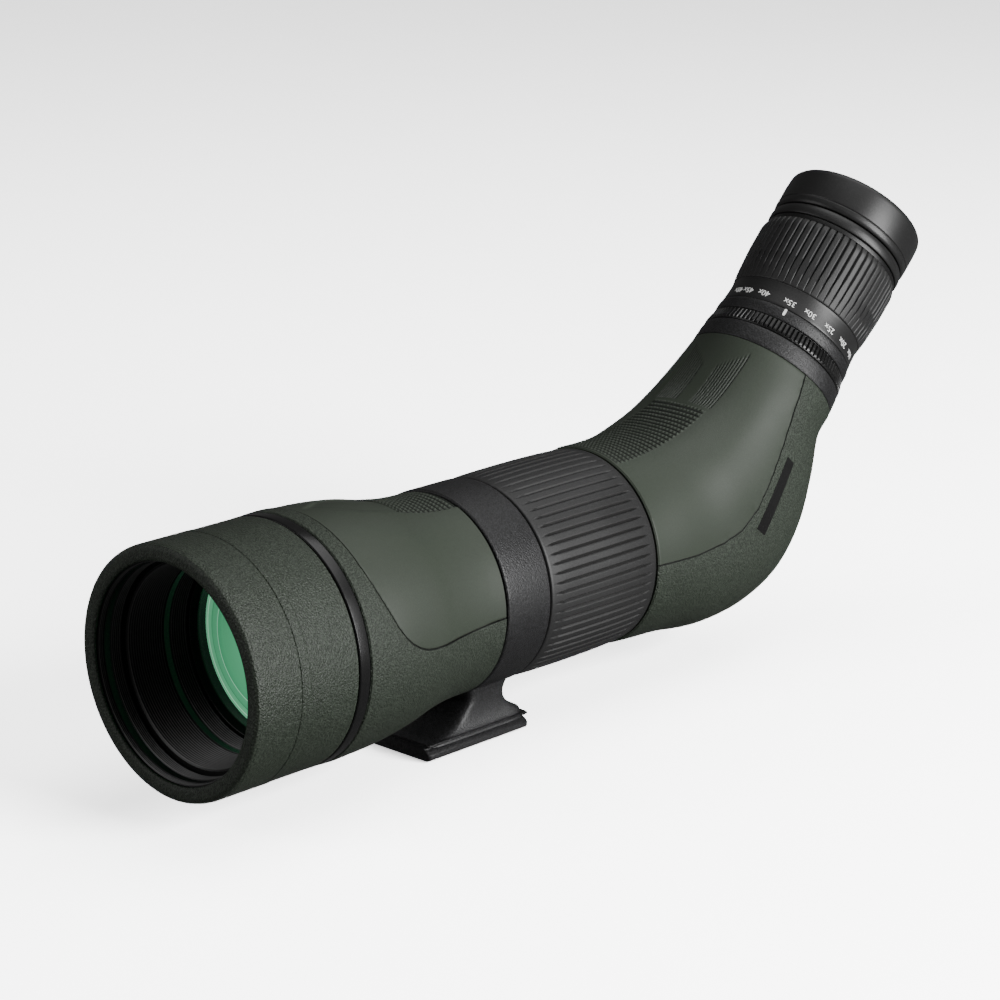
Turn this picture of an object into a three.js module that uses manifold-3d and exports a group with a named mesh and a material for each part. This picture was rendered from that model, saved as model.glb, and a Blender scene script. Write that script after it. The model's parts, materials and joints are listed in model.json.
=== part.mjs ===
// Angled spotting scope with a zoom eyepiece and a rotating tripod collar.
// Millimetres, +Z up. The origin is the middle of the flat underside of the tripod foot.
// -Y points along the view direction (objective end), +Y points to the eyepiece end.
import * as THREE from "three";
import { mergeVertices } from "three/addons/utils/BufferGeometryUtils.js";
import Module from "manifold-3d";

const wasm = await Module();
wasm.setup();

// ---------- driving dimensions ----------
const AXIS_HEIGHT = 51.6;        // optical axis above the underside of the foot
const FOOT_STATION = 122.5;      // distance from the front rim to the middle of the foot
const GAP = 0.3;                 // seam between two touching pieces
const RUN = 0.6;                 // radial clearance where one piece turns or slides in another
const OVERCUT = 5;               // how far a cutter runs past the face that it cuts
const SIDES = 32;                // facets of a large round piece
const SIDES_SMALL = 20;          // facets of a small round piece

const RIM_R = 43;                // sunshade
const MOUTH_R = 37.2;
const SHADE_END = 43.6;
const BAND_START = 44.2;         // narrow band behind the sunshade
const BAND_END = 48.8;
const BARREL_R = 36.2;           // fixed barrel that carries the sunshade
const BARREL_FRONT = 11.8;
const LENS_R = 31.3;             // objective glass
const LENS_FACE = 41;
const TUBE_R = 31;               // body tube, from behind the objective to the prism housing
const TUBE_BORE = 28.8;
const TUBE_START = 62;
const COLLAR_START = 120;        // tripod collar
const COLLAR_END = 141;
const COLLAR_R = 36.2;
const FOCUS_START = 141.8;       // focusing ring
const FOCUS_END = 196.2;
const FOCUS_R = 36.5;
const HOUSING_START = 197;       // prism housing

const FOOT_HALF_WIDTH = 20;      // dovetail foot
const FOOT_LENGTH = 49;
const FOOT_TOP = 6.2;            // above the underside
const NECK_HALF_WIDTH = 17.5;

const BUSH_R = 5;                // threaded bush for a tripod screw, in the underside of the foot
const BUSH_DEPTH = 8;
const BUSH_Y = 10;
const SCREW_R = 3.2;
const STOP_R = 1.8;              // small safety screws at both ends of the foot
const STOP_DEPTH = 4;
const STOP_Y = 20.5;
const LINER_R = 33;              // bore of the collar, which holds the slip liner
const CLAMP_X = -43;             // outer face of the clamp boss, on the far side from the name plate
const CLAMP_Y = 8;
const CLAMP_STEM_R = 3;
const KNOB_R = 9.5;
const KNOB_LENGTH = 9;

const BEND_Y = 252;              // where the eyepiece axis meets the optical axis
const BEND_DEG = 45;
const EYE_END = 63;              // distances along the eyepiece axis from the bend
const LOCK_START = 70.3;
const LOCK_END = 76.4;
const INDEX_END = 81.4;
const SCALE_END = 91;
const GRIP_END = 119.2;
const STEP_END = 121.2;
const TOP_RING_END = 125.8;
const CUP_END = 142.4;
const EYE_R = 29.5;
const EYE_TUBE_R = 23;

// ---------- materials ----------
function paint(color, roughness, metalness) {
  return new THREE.MeshStandardMaterial({ color, roughness, metalness });
}

const greenArmour = () => paint(0x434b40, 0.8, 0);
const blackMetal = () => paint(0x232325, 0.5, 0.4);
const blackRubber = () => paint(0x1d1d1f, 0.75, 0);
const blackPlastic = () => paint(0x262628, 0.55, 0);
const brass = () => paint(0xb08d4a, 0.35, 1);
const steel = () => paint(0xb4b6b8, 0.3, 1);
const coatedGlass = () => paint(0x4fae7f, 0.05, 0);

// ---------- building blocks ----------
const part = new THREE.Group();
const scope = new THREE.Group();          // local Z is the optical axis, measured from the front rim
const eyepiece = new THREE.Group();       // local Z is the eyepiece axis, measured from the bend

scope.position.set(0, -FOOT_STATION, AXIS_HEIGHT);
scope.rotation.x = -Math.PI / 2;
eyepiece.position.set(0, BEND_Y - FOOT_STATION, AXIS_HEIGHT);
eyepiece.rotation.x = -THREE.MathUtils.degToRad(90 - BEND_DEG);
part.add(scope, eyepiece);

function place(group, name, geometry, material) {
  const mesh = new THREE.Mesh(geometry, material);
  mesh.name = name;
  group.add(mesh);
  return mesh;
}

// A ring or disc turned about local Z. Each pair is [radius, station], and the outline closes on itself
// unless it starts and ends on the axis.
function turned(outline, sides = SIDES) {
  const points = outline.map(([r, z]) => new THREE.Vector2(r, z));
  const onAxis = points[0].x === 0;
  if (!onAxis) points.push(points[0].clone());
  const geometry = new THREE.LatheGeometry(points, sides);
  geometry.rotateX(Math.PI / 2);
  return facingOut(geometry);
}

// A plain tube between two stations.
function ring(outer, inner, start, end, sides = SIDES) {
  return turned([[inner, start], [outer, start], [outer, end], [inner, end]], sides);
}

// A closed solid whose faces all point outward.
function facingOut(geometry) {
  geometry.deleteAttribute("normal");
  geometry.deleteAttribute("uv");
  const merged = mergeVertices(geometry, 1e-4);
  const p = merged.attributes.position;
  const index = Array.from(merged.index.array);
  const faces = [];
  let volume = 0;
  const a = new THREE.Vector3();
  const b = new THREE.Vector3();
  const c = new THREE.Vector3();
  for (let i = 0; i < index.length; i += 3) {
    const [u, v, w] = index.slice(i, i + 3);
    if (u === v || v === w || w === u) continue;
    faces.push(u, v, w);
    a.fromBufferAttribute(p, u);
    b.fromBufferAttribute(p, v);
    c.fromBufferAttribute(p, w);
    volume += a.dot(b.cross(c));
  }
  if (volume < 0) faces.reverse();
  merged.setIndex(faces);
  return merged;
}

function solid(geometry) {
  const merged = facingOut(geometry);
  const vertProperties = new Float32Array(merged.attributes.position.array);
  const triVerts = new Uint32Array(merged.index.array);
  return new wasm.Manifold(new wasm.Mesh({ numProp: 3, vertProperties, triVerts }));
}

function surfaceOf(body) {
  const mesh = body.getMesh();
  const geometry = new THREE.BufferGeometry();
  geometry.setAttribute("position", new THREE.BufferAttribute(new Float32Array(mesh.vertProperties), 3));
  geometry.setIndex(new THREE.BufferAttribute(new Uint32Array(mesh.triVerts), 1));
  return geometry;
}

// An outline drawn in side view (Y across, Z up) and given a width along X.
function sideProfile(shape, halfWidth) {
  const settings = { depth: 2 * halfWidth, bevelEnabled: false, curveSegments: 6 };
  const geometry = new THREE.ExtrudeGeometry(shape, settings);
  geometry.translate(0, 0, -halfWidth);
  geometry.rotateY(Math.PI / 2);
  geometry.rotateX(Math.PI / 2);
  return geometry;
}

function outlineShape(points) {
  return new THREE.Shape(points.map(([u, v]) => new THREE.Vector2(u, v)));
}

// ---------- sunshade, slides forward over the fixed barrel ----------
function buildSunshade() {
  const armour = turned([
    [39.6, 1.2], [41, 0], [42.3, 0.5], [RIM_R, 1.9], [RIM_R, 22], [42.7, 23], [42.7, SHADE_END],
    [39.6, SHADE_END],
  ]);
  place(scope, "sunshade_armour", armour, greenArmour());
  const sleeve = turned([
    [MOUTH_R, 10.6], [39.3, 10.6], [39.3, SHADE_END], [MOUTH_R, SHADE_END],
  ]);
  place(scope, "sunshade_sleeve", sleeve, blackMetal());
  const mouth = turned([
    [MOUTH_R, 0.9], [39.3, 0.9], [39.3, 10.3], [36.6, 10.3], [36.6, 5.2], [MOUTH_R, 4.2],
  ]);
  place(scope, "filter_thread_ring", mouth, blackMetal());
}

// ---------- objective barrel and its optics ----------
function buildObjective() {
  const barrel = turned([
    [34.6, BARREL_FRONT], [BARREL_R, BARREL_FRONT], [BARREL_R, 61.4], [33.1, 61.4], [33.1, 31],
  ]);
  place(scope, "objective_barrel", barrel, blackMetal());
  const cell = turned([
    [30.4, 37], [32.7, 37], [32.7, 60.5], [30.4, 60.5], [30.4, 58.3], [31.7, 58.3], [31.7, 39.6],
    [30.4, 39.6],
  ]);
  place(scope, "objective_cell", cell, blackMetal());
  const front = turned([
    [0, LENS_FACE - 0.8], [12, LENS_FACE - 0.3], [22, LENS_FACE + 0.9], [LENS_R, LENS_FACE + 2.6],
    [LENS_R, 47.6], [16, 49.2], [0, 49.8],
  ]);
  place(scope, "objective_front_lens", front, coatedGlass());
  place(scope, "objective_spacer", ring(LENS_R, 29.6, 47.9, 50.4), blackMetal());
  const rear = turned([
    [0, 51.4], [LENS_R, 50.7], [LENS_R, 54.4], [0, 55.4],
  ]);
  place(scope, "objective_rear_lens", rear, coatedGlass());
  place(scope, "objective_lock_ring", ring(LENS_R, 29.4, 55.6, 58), blackMetal());
}

// ---------- front body ----------
function buildFrontBody() {
  place(scope, "name_band", ring(42.8, 40, BAND_START, BAND_END), blackPlastic());
  const shell = turned([
    [36.6, BAND_START], [39.7, BAND_START], [39.7, BAND_END + GAP], [39, 59], [36.9, 78],
    [34, 95], [33.1, 106],
    [33.1, 119.4], [31.4, 119.4], [31.4, 104], [33.4, 76], [36.6, 61.7],
  ]);
  place(scope, "front_shell", shell, blackMetal());
  const armour = turned([
    [40, 49.1], [43.1, 49.1], [43, 59], [41.7, 77], [38.4, 94], [36.8, 104], [36.2, 119.4],
    [33.4, 119.4], [33.4, 106.2], [34.4, 95], [37.3, 78], [39.4, 59],
  ]);
  place(scope, "front_armour", armour, greenArmour());
  place(scope, "body_tube", ring(TUBE_R, TUBE_BORE, TUBE_START, HOUSING_START - GAP), blackMetal());
  place(scope, "light_baffle", turned([[22, 84], [28.4, 83], [28.4, 87], [27.4, 87]]), blackMetal());
}

// ---------- focusing ring and the lens cell that it drives ----------
function buildFocus() {
  place(scope, "focus_sleeve", ring(33.6, TUBE_R + RUN, FOCUS_START, FOCUS_END), blackMetal());
  const grip = turned([
    [33.9, FOCUS_START], [35.2, FOCUS_START], [35.9, 144], [FOCUS_R, 158], [FOCUS_R, 180], [35.9, 194],
    [35.2, FOCUS_END], [33.9, FOCUS_END],
  ]);
  place(scope, "focus_grip", grip, blackRubber());
  const cell = turned([
    [19.6, 152], [TUBE_BORE - RUN, 152], [TUBE_BORE - RUN, 166], [19.6, 166], [19.6, 164],
    [24, 164], [24, 154],
    [19.6, 154],
  ]);
  place(scope, "focus_cell", cell, blackMetal());
  const lens = turned([[0, 157], [12, 156.6], [23.6, 155], [23.6, 162], [0, 160]]);
  place(scope, "focus_lens", lens, coatedGlass());
}

// ---------- prism housing: sections swept on a fan from the body tube to the eyepiece seat ----------
const FAN_Y = HOUSING_START;
const FAN_Z = EYE_END * Math.SQRT2 + BEND_Y - HOUSING_START;
const SECTIONS = [
  // [angle, reach of the upper side, reach of the lower side, half width, squareness]
  [0, 107.6, 180.6, 36.5, 2],
  [7, 108.9, 182.9, 36.5, 2.1],
  [14, 110.5, 188.9, 35.9, 2.3],
  [20, 111.9, 191.4, 35.8, 2.5],
  [26, 113, 190.7, 35, 2.6],
  [31, 113.3, 185.2, 33.8, 2.6],
  [36, 112.8, 176.6, 32.3, 2.4],
  [41, 112.1, 168.4, 30.9, 2.1],
  [BEND_DEG, 111.3, 170.3, EYE_R, 2],
];

function sectionPoint([angle, upper, lower, halfWidth, squareness], inset, turn) {
  const theta = THREE.MathUtils.degToRad(angle);
  const middle = (upper + lower) / 2;
  const c = Math.cos(turn);
  const s = Math.sin(turn);
  const power = 2 / squareness;
  const reach = middle + ((lower - upper) / 2 - inset) * Math.sign(c) * Math.abs(c) ** power;
  const x = (halfWidth - inset) * Math.sign(s) * Math.abs(s) ** power;
  return new THREE.Vector3(x, FAN_Y + reach * Math.sin(theta), FAN_Z - reach * Math.cos(theta));
}

// The wall between two insets of the sections, closed by a flat ring at each end.
function fanShell(insetOut, insetIn, sides = 28) {
  const loops = [];
  for (const section of SECTIONS) loops.push([section, insetOut]);
  for (const section of SECTIONS.slice().reverse()) loops.push([section, insetIn]);
  const positions = [];
  for (const [section, inset] of loops) {
    for (let i = 0; i < sides; i++) {
      positions.push(...sectionPoint(section, inset, (2 * Math.PI * i) / sides).toArray());
    }
  }
  const index = [];
  for (let j = 0; j < loops.length; j++) {
    const k = (j + 1) % loops.length;
    for (let i = 0; i < sides; i++) {
      const n = (i + 1) % sides;
      index.push(j * sides + i, j * sides + n, k * sides + n);
      index.push(j * sides + i, k * sides + n, k * sides + i);
    }
  }
  const geometry = new THREE.BufferGeometry();
  geometry.setAttribute("position", new THREE.BufferAttribute(new Float32Array(positions), 3));
  geometry.setIndex(index);
  return geometry;
}

function atAxis(geometry) {
  geometry.translate(0, -FOOT_STATION, AXIS_HEIGHT);
  return geometry;
}

function buildRearBody() {
  const plateCut = sideProfile(outlineShape([[272.3, 25.2], [276.8, 21.4], [257.3, -2.8], [251.6, 1.7]]), 4);
  plateCut.translate(38.2, 0, 0);
  const armour = solid(fanShell(0, 2.6)).subtract(solid(plateCut));
  place(part, "rear_armour", atAxis(surfaceOf(armour)), greenArmour());
  place(part, "prism_housing", atAxis(facingOut(fanShell(3.1, 5.4))), blackMetal());

  const plate = sideProfile(outlineShape([[272.4, 24.5], [276, 21.4], [257.1, -2.1], [252.3, 1.7]]), 0.6);
  plate.translate(35.2, 0, 0);
  place(part, "side_plate", atAxis(facingOut(plate)), blackPlastic());

  const erector = outlineShape([
    [207, -13], [211, -17], [233, -17], [237, -13], [237, 13], [233, 17], [211, 17], [207, 13],
  ]);
  place(part, "erector_prism", atAxis(facingOut(sideProfile(erector, 17))), coatedGlass());
  const roof = outlineShape([[241, 24], [241, -24], [274.9, -9.9]]);
  place(part, "roof_prism", atAxis(facingOut(sideProfile(roof, 15))), coatedGlass());
  const tray = outlineShape([[205, -26], [238, -26], [238, -17.5], [205, -17.5]]);
  place(part, "prism_bracket", atAxis(facingOut(sideProfile(tray, 14))), blackMetal());
}

// ---------- eyepiece ----------
function buildEyepiece() {
  place(eyepiece, "eyepiece_seat", turned([
    [EYE_TUBE_R + 0.4, EYE_END + GAP], [EYE_R, EYE_END + GAP], [28.9, LOCK_START - GAP],
    [EYE_TUBE_R + 0.4, LOCK_START - GAP],
  ]), blackMetal());
  place(eyepiece, "eyepiece_tube", ring(EYE_TUBE_R, 21, 61, STEP_END - 0.2), blackMetal());
  place(eyepiece, "lock_ring", ring(28.6, EYE_TUBE_R + RUN, LOCK_START, LOCK_END), blackMetal());
  place(eyepiece, "index_ring", turned([
    [EYE_TUBE_R + 0.4, LOCK_END + GAP], [28, LOCK_END + GAP], [27.7, INDEX_END],
    [EYE_TUBE_R + 0.4, INDEX_END],
  ]), blackPlastic());
  place(eyepiece, "zoom_cam", ring(25, EYE_TUBE_R + RUN, INDEX_END + 0.6, GRIP_END), brass());
  place(eyepiece, "zoom_scale_ring", turned([
    [25.3, INDEX_END + GAP], [27.4, INDEX_END + GAP], [26.8, SCALE_END], [25.3, SCALE_END],
  ]), blackPlastic());
  place(eyepiece, "zoom_grip", turned([
    [25.3, SCALE_END + GAP], [26.9, SCALE_END + GAP], [27.6, 96], [28.2, 107], [28.2, GRIP_END],
    [25.3, GRIP_END],
  ]), blackRubber());
  place(eyepiece, "zoom_end_ring", ring(27.2, EYE_TUBE_R + RUN, GRIP_END + GAP, STEP_END), blackPlastic());
  place(eyepiece, "top_ring", turned([
    [19.6, STEP_END + GAP], [27.3, STEP_END + GAP], [27.8, 122.4], [27.7, 125], [27.2, TOP_RING_END],
    [22, TOP_RING_END], [22, 135.4], [19.6, 135.4],
  ]), blackPlastic());
  const eyeLens = turned([[0, 128], [19, 129.2], [19, 132.4], [0, 134.4]], SIDES_SMALL);
  place(eyepiece, "eye_lens", eyeLens, coatedGlass());
  const fieldLens = turned([[0, 61.6], [20.6, 62.8], [20.6, 65.2], [0, 66.6]], SIDES_SMALL);
  place(eyepiece, "field_lens", fieldLens, coatedGlass());
  buildZoomCell("zoom_cell_lower", "zoom_lens_lower", 76);
  buildZoomCell("zoom_cell_upper", "zoom_lens_upper", 100);
}

function buildZoomCell(cellName, lensName, start) {
  const outer = 20.3;
  const seat = 18.2;
  const lip = 16;
  place(eyepiece, cellName, turned([
    [lip, start], [outer, start], [outer, start + 9], [lip, start + 9], [lip, start + 7.6],
    [seat, start + 7.6],
    [seat, start + 1.4], [lip, start + 1.4],
  ], SIDES_SMALL), blackMetal());
  const lens = turned([[0, start + 2], [17.8, start + 3.4], [17.8, start + 5.6], [0, start + 7]], SIDES_SMALL);
  place(eyepiece, lensName, lens, coatedGlass());
}

// ---------- eyecup, twists up on a helix ----------
function buildEyecup() {
  const start = TOP_RING_END + 0.6;
  place(eyepiece, "eyecup_guide_ring", ring(23.8, 22.6, start, start + 2.4), blackPlastic());
  place(eyepiece, "eyecup_sleeve", turned([
    [24.4, start], [25.9, start], [25.9, CUP_END - 2.6], [20.4, CUP_END - 2.6],
    [20.4, CUP_END - 4], [24.4, CUP_END - 4],
  ]), blackPlastic());
  place(eyepiece, "eyecup_rubber", turned([
    [26.2, start], [27.6, start], [27.9, 128.2], [27.9, CUP_END - 1.6], [27.2, CUP_END - 0.3],
    [25.8, CUP_END],
    [24, CUP_END - 0.3], [22.2, CUP_END - 2.3], [26.2, CUP_END - 2.3],
  ]), blackRubber());
}

// ---------- tripod collar, foot and clamp ----------
function buildMount() {
  const ringBody = ring(COLLAR_R, 33, COLLAR_START, COLLAR_END);
  ringBody.rotateX(-Math.PI / 2);
  atAxis(ringBody);

  const half = FOOT_LENGTH / 2;
  const neck = new THREE.Shape();
  neck.moveTo(-half + 0.5, FOOT_TOP - 1);
  neck.lineTo(half - 0.2, FOOT_TOP - 1);
  neck.lineTo(half - 0.2, FOOT_TOP + 1.4);
  neck.bezierCurveTo(15.5, 10.5, 13.5, 15, 18.4, 20);
  neck.lineTo(18.4, 24);
  neck.lineTo(-2.4, 24);
  neck.lineTo(-2.4, 14.6);
  neck.bezierCurveTo(-4.2, 10.5, -12, 7, -half + 0.5, FOOT_TOP - 0.6);
  neck.closePath();

  const lipAndGroove = [[19, 0], [FOOT_HALF_WIDTH, 0.8], [FOOT_HALF_WIDTH, 2.4], [17.4, 3.8], [17.4, 4.3],
    [FOOT_HALF_WIDTH, 5.4], [19.6, FOOT_TOP]];
  const mirrored = lipAndGroove.map(([x, z]) => [-x, z]).reverse();
  const foot = outlineShape([...lipAndGroove, ...mirrored]);
  const footBlock = new THREE.ExtrudeGeometry(foot, { depth: FOOT_LENGTH, bevelEnabled: false });
  footBlock.rotateX(Math.PI / 2);
  footBlock.translate(0, half, 0);

  const bore = new THREE.CylinderGeometry(LINER_R, LINER_R, 60, SIDES);
  bore.translate(0, CLAMP_Y, AXIS_HEIGHT);
  const body = solid(ringBody)
    .add(solid(sideProfile(neck, NECK_HALF_WIDTH)))
    .add(solid(footBlock))
    .add(solid(alongX(8, CLAMP_X, -COLLAR_R + 3, CLAMP_Y)))
    .subtract(solid(alongX(CLAMP_STEM_R + RUN, CLAMP_X - OVERCUT, -LINER_R + 4, CLAMP_Y)))
    .subtract(solid(bore))
    .subtract(solid(upright(BUSH_R, -OVERCUT, BUSH_DEPTH, BUSH_Y)))
    .subtract(solid(upright(STOP_R, -OVERCUT, STOP_DEPTH, STOP_Y)))
    .subtract(solid(upright(STOP_R, -OVERCUT, STOP_DEPTH, -STOP_Y)));
  place(part, "collar_and_foot", surfaceOf(body), blackMetal());

  const bush = solid(upright(BUSH_R - GAP, 0.2, BUSH_DEPTH - GAP, BUSH_Y))
    .subtract(solid(upright(SCREW_R, -OVERCUT, BUSH_DEPTH + OVERCUT, BUSH_Y)));
  place(part, "foot_bush", surfaceOf(bush), brass());
  for (const [name, y] of [["stop_screw_front", -STOP_Y], ["stop_screw_rear", STOP_Y]]) {
    place(part, name, facingOut(upright(STOP_R - GAP, 0.3, STOP_DEPTH - GAP, y)), steel());
  }
  place(scope, "collar_liner", ring(LINER_R - GAP, TUBE_R + 0.35, COLLAR_START, COLLAR_END), blackPlastic());
}

// A round bar along X between two stations, at a given Y, on the height of the optical axis.
function alongX(radius, from, to, y, sides = SIDES_SMALL) {
  const bar = new THREE.CylinderGeometry(radius, radius, Math.abs(to - from), sides);
  bar.rotateZ(Math.PI / 2);
  bar.translate((from + to) / 2, y, AXIS_HEIGHT);
  return bar;
}

// A round bar standing upright between two heights, on the centre line of the foot.
function upright(radius, from, to, y) {
  const bar = new THREE.CylinderGeometry(radius, radius, to - from, SIDES_SMALL);
  bar.rotateX(Math.PI / 2);
  bar.translate(0, y, (from + to) / 2);
  return bar;
}

function buildClamp() {
  const washer = solid(alongX(7, CLAMP_X - 1.3, CLAMP_X - GAP, CLAMP_Y))
    .subtract(solid(alongX(CLAMP_STEM_R + RUN, CLAMP_X - OVERCUT, CLAMP_X + OVERCUT, CLAMP_Y)));
  place(part, "clamp_washer", surfaceOf(washer), blackPlastic());
  const knobStart = CLAMP_X - 1.7;
  const knobEnd = knobStart - KNOB_LENGTH;
  const knob = solid(alongX(KNOB_R, knobEnd, knobStart, CLAMP_Y, 24))
    .subtract(solid(alongX(6.2, knobEnd - OVERCUT, knobEnd + 1.2, CLAMP_Y)))
    .add(solid(alongX(CLAMP_STEM_R, knobStart - 3, -LINER_R - 0.9, CLAMP_Y)));
  place(part, "clamp_knob", surfaceOf(knob), blackMetal());
  place(part, "clamp_knob_cap", facingOut(alongX(5.9, knobEnd + 0.1, knobEnd + 0.9, CLAMP_Y)), steel());
}

buildSunshade();
buildObjective();
buildFrontBody();
buildFocus();
buildRearBody();
buildEyepiece();
buildEyecup();
buildMount();
buildClamp();

export default part;
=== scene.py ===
# %% [markdown]
# # An angled spotting scope
# A spotting scope is a small telescope on a tripod foot. Light enters under the sliding sunshade,
# passes the coated objective, is folded by prisms in the elbow and leaves through the zoom eyepiece.
# The solids of the scope come ready made and in place. This script gives them their visible skins:
# green rubber armour, ribbed rings, fine-grain black paint and coated glass.

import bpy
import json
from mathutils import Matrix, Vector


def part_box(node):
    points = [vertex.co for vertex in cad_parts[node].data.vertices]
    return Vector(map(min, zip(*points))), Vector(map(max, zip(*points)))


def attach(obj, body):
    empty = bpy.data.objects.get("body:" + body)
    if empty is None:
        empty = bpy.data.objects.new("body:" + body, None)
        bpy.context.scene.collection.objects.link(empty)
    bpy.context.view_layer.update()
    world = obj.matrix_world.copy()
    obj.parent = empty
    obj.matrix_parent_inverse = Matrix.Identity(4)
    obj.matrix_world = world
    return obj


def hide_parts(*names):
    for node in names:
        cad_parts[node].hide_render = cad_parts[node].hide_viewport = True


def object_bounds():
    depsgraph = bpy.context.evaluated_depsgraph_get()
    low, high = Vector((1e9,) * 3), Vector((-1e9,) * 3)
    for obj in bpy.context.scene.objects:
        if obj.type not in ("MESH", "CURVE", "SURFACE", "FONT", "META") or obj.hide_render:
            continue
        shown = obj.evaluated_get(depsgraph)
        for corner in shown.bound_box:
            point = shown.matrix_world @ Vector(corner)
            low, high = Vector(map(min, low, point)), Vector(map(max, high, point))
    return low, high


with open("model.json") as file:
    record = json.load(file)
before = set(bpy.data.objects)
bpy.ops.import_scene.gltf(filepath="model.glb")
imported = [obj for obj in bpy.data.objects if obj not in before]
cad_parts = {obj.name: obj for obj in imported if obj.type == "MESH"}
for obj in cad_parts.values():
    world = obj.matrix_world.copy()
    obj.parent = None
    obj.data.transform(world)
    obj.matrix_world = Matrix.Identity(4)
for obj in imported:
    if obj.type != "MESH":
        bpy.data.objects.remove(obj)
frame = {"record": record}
cad_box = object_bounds()

# %% Tools, and the two axes that every round piece is turned about
import json
import math
import bmesh
import bpy
import numpy as np
from mathutils import Vector

MM = 0.001
rim_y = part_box("sunshade_armour")[0][1] / MM
tube_low, tube_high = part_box("body_tube")
axis_z = (tube_low[2] + tube_high[2]) / 2 / MM

joints = {joint["name"]: joint for joint in frame["record"]["behaviour"]["joints"]}
eye_dir = np.array(joints["zoom_turn"]["axis"], float)
eye_dir /= np.linalg.norm(eye_dir)
ZOOM_STATION = 100.0
eye_start = np.array(joints["zoom_turn"]["pos_m"], float) / MM - ZOOM_STATION * eye_dir
eye_side = np.array([1.0, 0.0, 0.0])
eye_down = np.cross(eye_dir, eye_side)
print("optical axis height", round(axis_z, 2), "mm, eyepiece axis starts at", eye_start.round(1))

# %% [markdown]
# ## From numbers to surfaces
# Almost everything on a scope is round, so two rules place nearly every point. One takes a radius, a
# turn and a station along the barrel, the other does the same about the tilted eyepiece axis. A grid
# of such points becomes a mesh in one step, which keeps the arrays whole and the script quick.

# %% Points about the two axes
def about_barrel(radius, turn, station):
    """Barrel point: x = r sin(turn), z = r cos(turn) above the axis, y = rim + station."""
    radius, turn, station = np.broadcast_arrays(radius, turn, station)
    return np.stack([radius * np.sin(turn), rim_y + station, axis_z + radius * np.cos(turn)], axis=-1)


def about_eyepiece(radius, turn, station):
    """Eyepiece point: start + station along the axis + r (cos(turn) side + sin(turn) down)."""
    radius, turn, station = np.broadcast_arrays(radius, turn, station)
    around = np.cos(turn)[..., None] * eye_side + np.sin(turn)[..., None] * eye_down
    return eye_start + station[..., None] * eye_dir + radius[..., None] * around


print("middle of the zoom ring:", about_eyepiece(0.0, 0.0, ZOOM_STATION).round(1))


# %% A grid of points becomes a piece
def grid_piece(name, points, wrap_rows=False, wrap_columns=True, sharp_deg=35, carried=None):
    """Quads join neighbours of a (rows, columns, 3) array in mm. Wrapped sides close on themselves.

    carried holds one number for each point under each label, for a material to read.
    """
    rows, columns = points.shape[:2]
    index = np.arange(rows * columns).reshape(rows, columns)
    right = np.roll(index, -1, axis=1)
    up = np.roll(index, -1, axis=0)
    both = np.roll(right, -1, axis=0)
    quads = np.stack([index, right, both, up], axis=-1)
    quads = quads[: rows if wrap_rows else rows - 1, : columns if wrap_columns else columns - 1]
    quads = quads.reshape(-1, 4)
    flat = points.reshape(-1, 3) * MM
    a, b, c, d = (flat[quads[:, k]] for k in range(4))
    volume = np.einsum("ij,ij->i", a, np.cross(b, c)) + np.einsum("ij,ij->i", a, np.cross(c, d))
    if volume.sum() < 0:
        quads = quads[:, ::-1]
    mesh = bpy.data.meshes.new(name)
    mesh.vertices.add(len(flat))
    mesh.vertices.foreach_set("co", flat.astype(np.float32).ravel())
    mesh.loops.add(quads.size)
    mesh.loops.foreach_set("vertex_index", quads.astype(np.int32).ravel())
    mesh.polygons.add(len(quads))
    mesh.polygons.foreach_set("loop_start", np.arange(0, quads.size, 4, dtype=np.int32))
    mesh.update(calc_edges=True)
    for label, values in (carried or {}).items():
        attribute = mesh.attributes.new(label, "FLOAT", "POINT")
        attribute.data.foreach_set("value", values.astype(np.float32).ravel())
    return finished(name, mesh, sharp_deg)


def finished(name, mesh, sharp_deg=35):
    """Doubles at poles are merged, faces are smooth, and edges over sharp_deg stay crisp."""
    work = bmesh.new()
    work.from_mesh(mesh)
    bmesh.ops.remove_doubles(work, verts=work.verts, dist=1e-7)
    bmesh.ops.dissolve_degenerate(work, edges=work.edges, dist=1e-8)
    work.to_mesh(mesh)
    work.free()
    mesh.polygons.foreach_set("use_smooth", np.ones(len(mesh.polygons), dtype=bool))
    mesh.set_sharp_from_angle(angle=math.radians(sharp_deg))
    piece = bpy.data.objects.new(name, mesh)
    bpy.context.scene.collection.objects.link(piece)
    return piece


def settle(piece, body, material, slot, *nodes):
    """The piece gets its finish, rides on its body and stands for the solids that it replaces."""
    piece.data.materials.append(material)
    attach(piece, body)
    if nodes:
        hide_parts(*nodes)
    print(f"{piece.name}: {len(piece.data.polygons)} faces on {body}")
    return piece


# %% Outlines with softened corners
def softened(outline, default=0.35, steps=4):
    """Each corner (r, station[, radius]) becomes a parabola between two points on its sides."""
    corners = [np.array(corner[:2], float) for corner in outline]
    sizes = [corner[2] if len(corner) > 2 else default for corner in outline]
    result = []
    for i, corner in enumerate(corners):
        before = corners[i - 1] - corner
        after = corners[(i + 1) % len(corners)] - corner
        reach_before = min(sizes[i], 0.42 * np.linalg.norm(before))
        reach_after = min(sizes[i], 0.42 * np.linalg.norm(after))
        start = corner + before / np.linalg.norm(before) * reach_before
        end = corner + after / np.linalg.norm(after) * reach_after
        t = np.linspace(0, 1, steps + 1)[:, None]
        result.append((1 - t) ** 2 * start + 2 * t * (1 - t) * corner + t ** 2 * end)
    return np.concatenate(result)


def capped(rows):
    """Rows of a tube, with the centre of the first and last row added so that both ends are closed."""
    first, last = (np.broadcast_to(rows[k].mean(0), (1, *rows.shape[1:])) for k in (0, -1))
    return np.concatenate([first, rows, last])


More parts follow.
